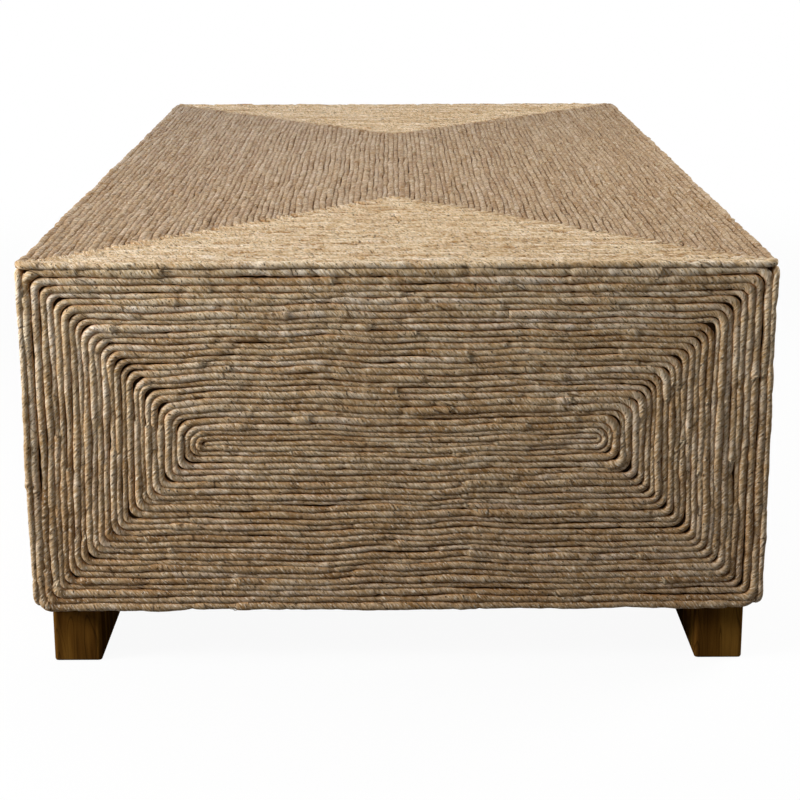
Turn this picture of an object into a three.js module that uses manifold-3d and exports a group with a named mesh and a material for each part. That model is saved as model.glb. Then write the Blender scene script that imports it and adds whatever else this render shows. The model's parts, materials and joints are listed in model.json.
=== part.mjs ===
// Low rectangular table whose box body is wound with leaf rope and stands on four block legs.
// Millimetres, +Z up. The origin is on the floor under the middle of the table.
// X runs across the width and Y along the length. The end that looks towards -Y is the front.

import * as THREE from "three";
import { mergeVertices } from "three/addons/utils/BufferGeometryUtils.js";
import Module from "manifold-3d";

const wasm = await Module();
wasm.setup();

// Overall sizes of the wound body and the gap left between pieces that touch
const BODY_WIDTH = 711;
const BODY_LENGTH = 1219;
const BODY_HEIGHT = 347;
const SEAT_GAP = 0.3;

// Rope: every face carries one rope, laid from its edge inwards as a rectangular spiral
const ROPE_THICKNESS = 7;
const TURN_CLEARANCE = 0.5;
const TOP_LOOPS = 24;
const WALL_LOOPS = 24;
const TOP_CUT_SHARE = 0;
const WALL_CUT_SHARE = 0.29;
const SHOULDER_HEIGHT_SHARE = 0.62;
const FLAT_WIDTH_SHARE = 0.6;
const GAP_SAMPLE_STEP = 4;
const GAP_SAMPLE_SKIP = 3;

// Board panels that the rope is glued to
const TOP_BOARD = 15;
const WALL_BOARD = 12;
const WALL_LIFT = 3;

// Inner frame: corner posts, rails tenoned into them, and bearers under the top board
const POST_SIDE = 45;
const RAIL_THICKNESS = 22;
const RAIL_HEIGHT = 45;
const TENON_LENGTH = 18;
const TENON_THICKNESS = 8;
const TENON_SHOULDER = 6;
const BEARER_COUNT = 3;
const BEARER_WIDTH = 40;
const BEARER_HEIGHT = 34;
const BEARER_TENON = 12;

// Block legs, set in from the body's faces
const LEG_WIDTH = 47;
const LEG_DEPTH = 130;
const LEG_HEIGHT = 59;
const LEG_INSET = 15;
const LEG_CORNER_RADIUS = 4;
const LEG_EDGE_BEVEL = 2;

// Coach screws, two up through each leg, with their heads sunk in the leg
const SCREW_DIAMETER = 8;
const SCREW_REACH = 32;
const SCREW_POINT = 7;
const HEAD_ACROSS_CORNERS = 15;
const HEAD_HEIGHT = 5.5;
const COUNTERBORE_DIAMETER = 20;
const COUNTERBORE_DEPTH = 22;
const REAR_SCREW_SETBACK = 26;
const CUT_OVERRUN = 5;

// Facets of round forms, and the distance within which a solid's corners are one
const SHANK_SIDES = 12;
const COUNTERBORE_SIDES = 20;
const HEAD_SIDES = 6;
const CORNER_SEGMENTS = 3;
const BEVEL_SEGMENTS = 2;
const MERGE_DISTANCE = 1e-3;

// Planes that several pieces share
const halfWidth = BODY_WIDTH / 2;
const halfLength = BODY_LENGTH / 2;
const bodyTop = LEG_HEIGHT + BODY_HEIGHT;
const ropeAndGap = ROPE_THICKNESS + SEAT_GAP;
const boardX = halfWidth - ropeAndGap;
const boardY = halfLength - ropeAndGap;
const wallTop = bodyTop - ropeAndGap;
const frameX = boardX - WALL_BOARD - SEAT_GAP;
const frameY = boardY - WALL_BOARD - SEAT_GAP;
const frameTop = wallTop - TOP_BOARD - SEAT_GAP;
const railEndX = frameX - POST_SIDE - SEAT_GAP;
const railEndY = frameY - POST_SIDE - SEAT_GAP;
const railInnerX = frameX - RAIL_THICKNESS;
const legX = halfWidth - LEG_INSET - LEG_WIDTH / 2;
const legY = halfLength - LEG_INSET - LEG_DEPTH / 2;
const legTop = LEG_HEIGHT - SEAT_GAP;

const wood = (color, roughness) => new THREE.MeshStandardMaterial({ color, roughness, metalness: 0 });
const materials = {
  rope: () => wood(0xa98c66, 0.9),
  board: () => wood(0x5b432c, 0.8),
  frame: () => wood(0x9a7a52, 0.75),
  leg: () => wood(0x4a3018, 0.5),
  steel: () => new THREE.MeshStandardMaterial({ color: 0x9c9c98, roughness: 0.4, metalness: 1 }),
};

// Solids for cutting and joining

function toSolid(geometry) {
  const bare = new THREE.BufferGeometry();
  bare.setAttribute("position", geometry.getAttribute("position").clone());
  bare.setIndex(geometry.index);
  const merged = mergeVertices(bare, MERGE_DISTANCE);
  return new wasm.Manifold(
    new wasm.Mesh({
      numProp: 3,
      vertProperties: new Float32Array(merged.attributes.position.array),
      triVerts: new Uint32Array(merged.index.array),
    }),
  );
}

function fromSolid(solid) {
  const mesh = solid.getMesh();
  const geometry = new THREE.BufferGeometry();
  geometry.setAttribute("position", new THREE.BufferAttribute(mesh.vertProperties, 3));
  geometry.setIndex(new THREE.BufferAttribute(mesh.triVerts, 1));
  geometry.computeVertexNormals();
  return geometry;
}

function shaped(geometry, { joined = [], removed = [] }) {
  let solid = toSolid(geometry);
  for (const extra of joined) solid = solid.add(toSolid(extra));
  for (const tool of removed) solid = solid.subtract(toSolid(tool));
  return fromSolid(solid);
}

function boxBetween(a, b) {
  const size = a.map((value, i) => Math.abs(b[i] - value));
  const middle = a.map((value, i) => (b[i] + value) / 2);
  return new THREE.BoxGeometry(...size).translate(...middle);
}

// A box given for the corner at +X and +Y, carried to the corner that the signs name
function cornerBox(a, b, side, end) {
  const place = ([x, y, z]) => [x * side, y * end, z];
  return boxBetween(place(a), place(b));
}

function uprightCylinder(diameter, bottom, top, x, y, sides) {
  const geometry = new THREE.CylinderGeometry(diameter / 2, diameter / 2, top - bottom, sides);
  return geometry.rotateX(Math.PI / 2).translate(x, y, (bottom + top) / 2);
}

function piece(name, geometry, material) {
  const mesh = new THREE.Mesh(geometry, material);
  mesh.name = name;
  return mesh;
}

const sides = [
  { side: -1, sideName: "left" },
  { side: 1, sideName: "right" },
];
const ends = [
  { end: -1, endName: "front" },
  { end: 1, endName: "back" },
];
const corners = ends.flatMap((e) =>
  sides.map((s) => ({ ...s, ...e, cornerName: `${e.endName}_${s.sideName}` })),
);

// Rope windings

// The rope's centre line: it starts at the lower right corner, runs clockwise and closes in by one
// pitch a loop. After its last loop it folds back and ends along the middle of the face.
function spiralPath(width, height, loops, cutShare) {
  const pitch = height / (2 * loops + 1);
  const cut = pitch * cutShare;
  const reach = (loop) => width / 2 - pitch / 2 - pitch * loop;
  const rise = (loop) => pitch * (loops - loop);
  const turns = [];
  for (let loop = 0; loop < loops; loop++) {
    turns.push([-reach(loop), -rise(loop)]);
    turns.push([-reach(loop), rise(loop)]);
    turns.push([reach(loop), rise(loop)]);
    turns.push([reach(loop), -rise(loop + 1)]);
  }
  const start = [width / 2, -rise(0)];
  const finish = [pitch - reach(loops - 1), 0];
  const line = [start, ...turns, finish].map(([x, y]) => new THREE.Vector2(x, y));
  if (cut === 0) return { line, pitch };
  const eased = line.slice(1, -1).flatMap((corner, i) => {
    const towards = (other) => corner.clone().add(other.clone().sub(corner).setLength(cut));
    return [towards(line[i]), towards(line[i + 2])];
  });
  return { line: [line[0], ...eased, line.at(-1)], pitch };
}

// A cross-section carried along a flat line, mitred where the line turns
function flatTube(line, section) {
  const rings = line.map((point, i) => {
    const before = point.clone().sub(line[Math.max(i - 1, 0)]).normalize();
    const after = line[Math.min(i + 1, line.length - 1)].clone().sub(point).normalize();
    const along = before.clone().add(after).normalize();
    const spread = 1 / Math.sqrt(i > 0 && i < line.length - 1 ? (1 + before.dot(after)) / 2 : 1);
    return section.map(([u, v]) => [point.x + along.y * u * spread, point.y - along.x * u * spread, v]);
  });
  const count = section.length;
  const index = [];
  for (let ring = 0; ring < rings.length - 1; ring++) {
    for (let k = 0; k < count; k++) {
      const a = ring * count + k;
      const b = ring * count + ((k + 1) % count);
      index.push(a, b, b + count, a, b + count, a + count);
    }
  }
  const last = (rings.length - 1) * count;
  for (let k = 1; k < count - 1; k++) {
    index.push(0, k + 1, k);
    index.push(last, last + k, last + k + 1);
  }
  const geometry = new THREE.BufferGeometry();
  geometry.setAttribute("position", new THREE.Float32BufferAttribute(rings.flat(2), 3));
  geometry.setIndex(index);
  geometry.computeVertexNormals();
  return geometry;
}

// Both sections are flat underneath and upright to the shoulder. The wall rope is ridged above it,
// and the wider top rope is sloped to a flat crown.
const shoulder = ROPE_THICKNESS * SHOULDER_HEIGHT_SHARE;
const ridgedSection = (width) => [
  [-width / 2, 0],
  [-width / 2, shoulder],
  [0, ROPE_THICKNESS],
  [width / 2, shoulder],
  [width / 2, 0],
];
const crownedSection = (width) => [
  [-width / 2, 0],
  [-width / 2, shoulder],
  [(-width * FLAT_WIDTH_SHARE) / 2, ROPE_THICKNESS],
  [(width * FLAT_WIDTH_SHARE) / 2, ROPE_THICKNESS],
  [width / 2, shoulder],
  [width / 2, 0],
];

// The least clear distance between turns that lie side by side, measured on points of both flanks
function leastGap(line, width, pitch) {
  const samples = [];
  let travelled = 0;
  for (let i = 0; i < line.length - 1; i++) {
    const run = line[i + 1].clone().sub(line[i]);
    const length = run.length();
    const across = new THREE.Vector2(run.y, -run.x).setLength(width / 2);
    const steps = Math.max(1, Math.ceil(length / GAP_SAMPLE_STEP));
    for (let k = 0; k < steps; k++) {
      const at = line[i].clone().addScaledVector(run, k / steps);
      for (const flank of [-1, 1]) {
        samples.push([at.x + across.x * flank, at.y + across.y * flank, travelled + (length * k) / steps]);
      }
    }
    travelled += length;
  }
  const cells = new Map();
  const cellOf = (value) => Math.floor(value / pitch);
  samples.forEach((sample) => {
    const key = `${cellOf(sample[0])},${cellOf(sample[1])}`;
    if (!cells.has(key)) cells.set(key, []);
    cells.get(key).push(sample);
  });
  let least = Infinity;
  for (const [x, y, s] of samples) {
    for (let cx = cellOf(x) - 1; cx <= cellOf(x) + 1; cx++) {
      for (let cy = cellOf(y) - 1; cy <= cellOf(y) + 1; cy++) {
        for (const [x2, y2, s2] of cells.get(`${cx},${cy}`) ?? []) {
          if (Math.abs(s2 - s) > GAP_SAMPLE_SKIP * pitch) least = Math.min(least, Math.hypot(x2 - x, y2 - y));
        }
      }
    }
  }
  return least;
}

function winding(name, width, height, loops, cutShare, sectionOf) {
  const { line, pitch } = spiralPath(width, height, loops, cutShare);
  const ropeWidth = pitch - TURN_CLEARANCE;
  console.log(`${name}: ${loops} loops, least gap ${leastGap(line, ropeWidth, pitch).toFixed(2)} mm`);
  return piece(name, flatTube(line, sectionOf(ropeWidth)), materials.rope());
}

function windings() {
  const group = new THREE.Group();
  const wallHeight = wallTop - LEG_HEIGHT;
  const wallMiddle = LEG_HEIGHT + wallHeight / 2;

  const top = winding("top_winding", BODY_LENGTH, BODY_WIDTH, TOP_LOOPS, TOP_CUT_SHARE, crownedSection);
  top.rotation.z = Math.PI / 2;
  top.position.z = bodyTop - ROPE_THICKNESS;
  group.add(top);

  for (const { end, endName } of ends) {
    const name = `${endName}_end_winding`;
    const wall = winding(name, 2 * boardX, wallHeight, WALL_LOOPS, WALL_CUT_SHARE, ridgedSection);
    const face = new THREE.Group();
    wall.rotation.x = Math.PI / 2;
    wall.position.y = ROPE_THICKNESS - halfLength;
    face.rotation.z = end < 0 ? 0 : Math.PI;
    face.position.z = wallMiddle;
    group.add(face.add(wall));
  }
  for (const { side, sideName } of sides) {
    const name = `${sideName}_side_winding`;
    const wall = winding(name, BODY_LENGTH, wallHeight, WALL_LOOPS, WALL_CUT_SHARE, ridgedSection);
    const face = new THREE.Group();
    wall.rotation.x = Math.PI / 2;
    wall.position.y = ROPE_THICKNESS - halfWidth;
    face.rotation.z = (side * Math.PI) / 2;
    face.position.z = wallMiddle;
    group.add(face.add(wall));
  }
  return group;
}

// Boards

function boards() {
  const group = new THREE.Group();
  const topLow = [-boardX, -boardY, wallTop - TOP_BOARD];
  group.add(piece("top_board", boxBetween(topLow, [boardX, boardY, wallTop]), materials.board()));
  for (const { side, sideName } of sides) {
    const low = [boardX - WALL_BOARD, -boardY, LEG_HEIGHT + WALL_LIFT];
    const wall = cornerBox(low, [boardX, boardY, frameTop], side, 1);
    group.add(piece(`${sideName}_side_board`, wall, materials.board()));
  }
  for (const { end, endName } of ends) {
    const low = [-frameX, boardY - WALL_BOARD, LEG_HEIGHT + WALL_LIFT];
    const wall = cornerBox(low, [frameX, boardY, frameTop], 1, end);
    group.add(piece(`${endName}_end_board`, wall, materials.board()));
  }
  return group;
}

// Frame: the two heights at which rails run, each as its lower and upper face

const railLevels = [
  { levelName: "bottom", low: LEG_HEIGHT, high: LEG_HEIGHT + RAIL_HEIGHT },
  { levelName: "top", low: frameTop - RAIL_HEIGHT, high: frameTop },
];
const tenonOuter = (RAIL_THICKNESS - TENON_THICKNESS) / 2;

// Boxes at the +X +Y corner for a long rail's and a short rail's tenon, grown by a clearance
const longTenon = ({ low, high }, grow) => [
  [frameX - tenonOuter - TENON_THICKNESS - grow, railEndY - grow, low + TENON_SHOULDER - grow],
  [frameX - tenonOuter + grow, railEndY + SEAT_GAP + TENON_LENGTH + grow, high - TENON_SHOULDER + grow],
];
const shortTenon = ({ low, high }, grow) => [
  [railEndX - grow, frameY - tenonOuter - TENON_THICKNESS - grow, low + TENON_SHOULDER - grow],
  [railEndX + SEAT_GAP + TENON_LENGTH + grow, frameY - tenonOuter + grow, high - TENON_SHOULDER + grow],
];

const bearerSpan = (2 * railEndY) / (BEARER_COUNT + 1);
const bearerPlaces = Array.from({ length: BEARER_COUNT }, (_, i) => bearerSpan * (i + 1) - railEndY);
const bearerBottom = frameTop - BEARER_HEIGHT;

// The two ends of a bearer's tenon, grown by a clearance, in the rail on the side that the sign names
const bearerTenon = (y, grow, side) => {
  const half = BEARER_WIDTH / 2 - TENON_SHOULDER + grow;
  const low = [railInnerX - SEAT_GAP - grow, y - half, bearerBottom + TENON_SHOULDER - grow];
  const high = [railInnerX + BEARER_TENON + grow, y + half, frameTop - TENON_SHOULDER + grow];
  return cornerBox(low, high, side, 1);
};

const screwPlaces = [
  { screwName: "outer", x: frameX - POST_SIDE / 2, y: frameY - POST_SIDE / 2 },
  { screwName: "inner", x: frameX - RAIL_THICKNESS / 2, y: legY - LEG_DEPTH / 2 + REAR_SCREW_SETBACK },
];
const screwTop = LEG_HEIGHT + SCREW_REACH;
const screwHole = ({ x, y }, side, end) =>
  uprightCylinder(
    SCREW_DIAMETER + 2 * SEAT_GAP,
    LEG_HEIGHT - CUT_OVERRUN,
    screwTop + SEAT_GAP,
    x * side,
    y * end,
    SHANK_SIDES,
  );

function posts() {
  const group = new THREE.Group();
  for (const { side, end, cornerName } of corners) {
    const low = [frameX - POST_SIDE, frameY - POST_SIDE, LEG_HEIGHT];
    const blank = cornerBox(low, [frameX, frameY, frameTop], side, end);
    const mortises = railLevels.flatMap((level) => [
      cornerBox(...longTenon(level, SEAT_GAP), side, end),
      cornerBox(...shortTenon(level, SEAT_GAP), side, end),
    ]);
    const removed = [...mortises, screwHole(screwPlaces[0], side, end)];
    group.add(piece(`${cornerName}_post`, shaped(blank, { removed }), materials.frame()));
  }
  return group;
}

function rails() {
  const group = new THREE.Group();
  for (const level of railLevels) {
    for (const { side, sideName } of sides) {
      const low = [railInnerX, -railEndY, level.low];
      const blank = cornerBox(low, [frameX, railEndY, level.high], side, 1);
      const joined = ends.map(({ end }) => cornerBox(...longTenon(level, 0), side, end));
      const removed =
        level.levelName === "top"
          ? bearerPlaces.map((y) => bearerTenon(y, SEAT_GAP, side))
          : ends.map(({ end }) => screwHole(screwPlaces[1], side, end));
      const rail = shaped(blank, { joined, removed });
      group.add(piece(`${sideName}_${level.levelName}_rail`, rail, materials.frame()));
    }
    for (const { end, endName } of ends) {
      const low = [-railEndX, frameY - RAIL_THICKNESS, level.low];
      const blank = cornerBox(low, [railEndX, frameY, level.high], 1, end);
      const joined = sides.map(({ side }) => cornerBox(...shortTenon(level, 0), side, end));
      const rail = shaped(blank, { joined });
      group.add(piece(`${endName}_${level.levelName}_rail`, rail, materials.frame()));
    }
  }
  return group;
}

function bearers() {
  const group = new THREE.Group();
  const bearerX = railInnerX - SEAT_GAP;
  bearerPlaces.forEach((y, i) => {
    const low = [-bearerX, y - BEARER_WIDTH / 2, bearerBottom];
    const blank = boxBetween(low, [bearerX, y + BEARER_WIDTH / 2, frameTop]);
    const joined = sides.map(({ side }) => bearerTenon(y, 0, side));
    group.add(piece(`top_bearer_${i + 1}`, shaped(blank, { joined }), materials.frame()));
  });
  return group;
}

// Legs and their screws

function roundedRectangle(width, depth, radius) {
  const x = width / 2 - radius;
  const y = depth / 2 - radius;
  const shape = new THREE.Shape();
  shape.absarc(x, y, radius, 0, Math.PI / 2);
  shape.absarc(-x, y, radius, Math.PI / 2, Math.PI);
  shape.absarc(-x, -y, radius, Math.PI, Math.PI * 1.5);
  shape.absarc(x, -y, radius, Math.PI * 1.5, Math.PI * 2);
  return shape;
}

function legBlock() {
  const geometry = new THREE.ExtrudeGeometry(roundedRectangle(LEG_WIDTH, LEG_DEPTH, LEG_CORNER_RADIUS), {
    depth: legTop - 2 * LEG_EDGE_BEVEL,
    curveSegments: CORNER_SEGMENTS,
    bevelEnabled: true,
    bevelSize: LEG_EDGE_BEVEL,
    bevelOffset: -LEG_EDGE_BEVEL,
    bevelThickness: LEG_EDGE_BEVEL,
    bevelSegments: BEVEL_SEGMENTS,
  });
  return geometry.translate(0, 0, LEG_EDGE_BEVEL);
}

function coachScrew() {
  const radius = SCREW_DIAMETER / 2;
  const seat = COUNTERBORE_DEPTH - SEAT_GAP;
  const profile = [
    [0, seat - HEAD_HEIGHT / 2],
    [radius, seat - HEAD_HEIGHT / 2],
    [radius, screwTop - SCREW_POINT],
    [0, screwTop],
  ].map(([r, z]) => new THREE.Vector2(r, z));
  const shank = new THREE.LatheGeometry(profile, SHANK_SIDES).rotateX(Math.PI / 2);
  const head = uprightCylinder(HEAD_ACROSS_CORNERS, seat - HEAD_HEIGHT, seat, 0, 0, HEAD_SIDES);
  return shaped(head, { joined: [shank] });
}

function legs() {
  const group = new THREE.Group();
  for (const { side, end, cornerName } of corners) {
    const removed = screwPlaces.flatMap((place) => {
      const x = place.x * side - legX * side;
      const y = place.y * end - legY * end;
      const boreTop = LEG_HEIGHT + CUT_OVERRUN;
      return [
        uprightCylinder(SCREW_DIAMETER + 2 * SEAT_GAP, -CUT_OVERRUN, boreTop, x, y, SHANK_SIDES),
        uprightCylinder(COUNTERBORE_DIAMETER, -CUT_OVERRUN, COUNTERBORE_DEPTH, x, y, COUNTERBORE_SIDES),
      ];
    });
    const leg = piece(`${cornerName}_leg`, shaped(legBlock(), { removed }), materials.leg());
    leg.position.set(legX * side, legY * end, 0);
    group.add(leg);
    for (const { screwName, x, y } of screwPlaces) {
      const screw = piece(`${cornerName}_leg_screw_${screwName}`, coachScrew(), materials.steel());
      screw.position.set(x * side, y * end, 0);
      group.add(screw);
    }
  }
  return group;
}

const table = new THREE.Group();
table.add(windings(), boards(), posts(), rails(), bearers(), legs());

export default table;
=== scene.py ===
"""A low table wound on every face with leaf rope: its ropes, woods, steel, studio and camera.

Each of the five faces carries one rope, wound inwards as a rectangular spiral. The legs, boards,
frame and screws are the solids of the frame itself, which get their finishes here.
"""
import json
import logging
import math
from collections.abc import Iterable
from dataclasses import dataclass, replace
from enum import Enum

import bpy
import numpy as np
from mathutils import Matrix, Vector


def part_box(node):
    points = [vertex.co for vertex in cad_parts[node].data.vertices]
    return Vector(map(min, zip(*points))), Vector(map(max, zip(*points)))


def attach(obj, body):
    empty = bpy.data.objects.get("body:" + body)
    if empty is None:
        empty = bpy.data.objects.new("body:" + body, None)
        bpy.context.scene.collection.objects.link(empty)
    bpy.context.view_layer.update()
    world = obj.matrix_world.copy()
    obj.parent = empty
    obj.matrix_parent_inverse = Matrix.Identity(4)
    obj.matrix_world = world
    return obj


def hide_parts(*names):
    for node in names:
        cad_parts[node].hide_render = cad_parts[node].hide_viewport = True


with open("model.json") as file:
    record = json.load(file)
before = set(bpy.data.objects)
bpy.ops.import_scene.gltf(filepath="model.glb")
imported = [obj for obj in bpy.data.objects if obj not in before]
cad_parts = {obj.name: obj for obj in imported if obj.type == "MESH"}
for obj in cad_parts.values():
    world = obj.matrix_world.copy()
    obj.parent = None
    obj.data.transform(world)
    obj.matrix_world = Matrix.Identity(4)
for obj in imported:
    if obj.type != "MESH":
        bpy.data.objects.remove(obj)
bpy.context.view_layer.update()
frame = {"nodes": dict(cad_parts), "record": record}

log = logging.getLogger("rope_table")
Socket = bpy.types.NodeSocket
Pair = tuple[float, float]
Triple = tuple[float, float, float]
Four = tuple[float, float, float, float]

MM = 0.001
TURN = 2 * math.pi
TINY = 1e-9
# A loop of a spiral has this many rows, and as many corners
ROWS_IN_LOOP = 4
# A face's leaf ends are drawn from its rope's seed plus this
LEAF_SEED_STEP = 20


def mm(*lengths: float) -> tuple[float, ...]:
    """Turns millimetres into metres."""
    return tuple(length * MM for length in lengths)


class Side(Enum):
    """The wound faces: each one's name, and its spiral's right and up axes as seen from outside.

    The left side's spiral is turned upside down, so that its rope starts at the back.
    """

    TOP = ("top", (0, 1, 0), (-1, 0, 0))
    FRONT = ("front_end", (1, 0, 0), (0, 0, 1))
    BACK = ("back_end", (-1, 0, 0), (0, 0, 1))
    LEFT = ("left_side", (0, 1, 0), (0, 0, -1))
    RIGHT = ("right_side", (0, 1, 0), (0, 0, 1))

    @property
    def label(self) -> str:
        """The face's name, as the frame's nodes carry it."""
        return self.value[0]

    @property
    def right(self) -> np.ndarray:
        """The face's right axis."""
        return np.array(self.value[1], float)

    @property
    def up(self) -> np.ndarray:
        """The face's up axis."""
        return np.array(self.value[2], float)

    @property
    def out(self) -> np.ndarray:
        """The face's outward axis, right crossed with up."""
        return np.cross(self.right, self.up)


def grid_faces(rings: int, sides: int) -> np.ndarray:
    """Numbers the corners of the faces between neighbouring rings of a tube.

    A face joins points i and i + 1 of ring j to the same points of ring j + 1, and the last point
    of a ring joins its first.

    Args:
        rings: How many rings the tube has.
        sides: How many points a ring has.

    Returns:
        The four corners of each face, as an array of shape (faces, 4).
    """
    ring, side = np.meshgrid(np.arange(rings - 1), np.arange(sides), indexing="ij")
    here = ring * sides
    there = here + sides
    after = (side + 1) % sides
    faces = np.stack([here + side, here + after, there + after, there + side], axis=-1)
    return faces.reshape(-1, 4)


def end_fans(rings: int, sides: int) -> np.ndarray:
    """Numbers the triangles that close a tube's two ends, each around a middle point of its own.

    Args:
        rings: How many rings the tube has; its two middle points are numbered after them.
        sides: How many points a ring has.

    Returns:
        The three corners of each triangle, the first end's first, of shape (2 * sides, 3).
    """
    side = np.arange(sides)
    after = (side + 1) % sides
    first = np.full(sides, rings * sides)
    last = (rings - 1) * sides
    opening = np.stack([first, after, side], axis=-1)
    closing = np.stack([first + 1, last + side, last + after], axis=-1)
    return np.concatenate([opening, closing])


def solid(
    name: str,
    points: np.ndarray,
    faces: Iterable[np.ndarray],
    maps: dict[str, np.ndarray],
    finish: bpy.types.Material,
) -> bpy.types.Object:
    """Puts arrays of points and faces into a mesh with smooth shading.

    Args:
        name: The piece's name.
        points: Its points in metres, of shape (points, 3).
        faces: Arrays of corner numbers, each of shape (faces, corners of a face).
        maps: UV maps by name, each with a place for every corner, in the order of faces.
        finish: The material it wears.

    Returns:
        The piece, linked to the scene, with its place in its mesh.
    """
    groups = [np.asarray(group, np.int32) for group in faces]
    sizes = np.concatenate([np.full(len(group), group.shape[1], np.int32) for group in groups])
    corners = np.concatenate([group.ravel() for group in groups])
    mesh = bpy.data.meshes.new(name)
    mesh.vertices.add(len(points))
    mesh.vertices.foreach_set("co", np.asarray(points, np.float32).ravel())
    mesh.loops.add(len(corners))
    mesh.loops.foreach_set("vertex_index", corners)
    mesh.polygons.add(len(sizes))
    mesh.polygons.foreach_set("loop_start", np.cumsum(sizes, dtype=np.int32) - sizes)
    for label, places in maps.items():
        layer = mesh.uv_layers.new(name=label)
        layer.data.foreach_set("uv", np.asarray(places, np.float32).ravel())
    mesh.update(calc_edges=True)
    mesh.polygons.foreach_set("use_smooth", np.ones(len(sizes), bool))
    mesh.materials.append(finish)
    piece = bpy.data.objects.new(name, mesh)
    bpy.context.scene.collection.objects.link(piece)
    return piece


class Drift:
    """A smooth random value along a length: even draws between -1 and 1, eased into each other."""

    def __init__(self, length: float, step: float, draws: np.random.Generator) -> None:
        """Draws the values, with a few to spare past the ends.

        Args:
            length: The length that the value runs along.
            step: The distance between two draws.
            draws: Where the random numbers come from.
        """
        self.step = step
        self.values = draws.uniform(-1, 1, int(length / step) + 4)

    def __call__(self, along: np.ndarray) -> np.ndarray:
        """Finds the value at each place.

        Args:
            along: Distances along the length.

        Returns:
            The draws before and after each place, mixed by f * f * (3 - 2 f), with f the share of
            a step that is passed.
        """
        place = np.clip(along / self.step + 1, 0, len(self.values) - 2)
        before = place.astype(int)
        share = place - before
        ease = share * share * (3 - 2 * share)
        return self.values[before] * (1 - ease) + self.values[before + 1] * ease


@dataclass
class Sway:
    """How whole groups of rows wander together on a face: plane waves in both directions."""

    draws: np.random.Generator
    reach: float
    shortest: float = 70 * MM
    longest: float = 300 * MM
    waves: int = 9
    bound_margin: float = 40 * MM

    def __post_init__(self) -> None:
        """Draws each wave's direction, length and start, and makes long waves higher."""
        each = (2, self.waves)
        heading = self.draws.uniform(0, TURN, each)
        length = np.exp(self.draws.uniform(math.log(self.shortest), math.log(self.longest), each))
        self.pull = TURN / length * np.array([np.cos(heading), np.sin(heading)])
        self.start = self.draws.uniform(0, TURN, each)
        self.height = self.reach * math.sqrt(2 / self.waves) * length / self.longest * 2

    def moved(self, places: np.ndarray, half: np.ndarray) -> np.ndarray:
        """Moves places on the face by the waves, which fade towards its outline.

        Args:
            places: Places on the face, of shape (places, 2).
            half: The face's half width and half height.

        Returns:
            The moved places: either direction gains the sum of height * sin(pull . place + start).
        """
        phase = np.einsum("cdw,nc->ndw", self.pull, places) + self.start
        shift = (np.sin(phase) * self.height).sum(axis=-1)
        room = np.clip((half - np.abs(places)).min(axis=1) / self.bound_margin, 0, 1)
        return places + shift * room[:, None]


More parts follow.
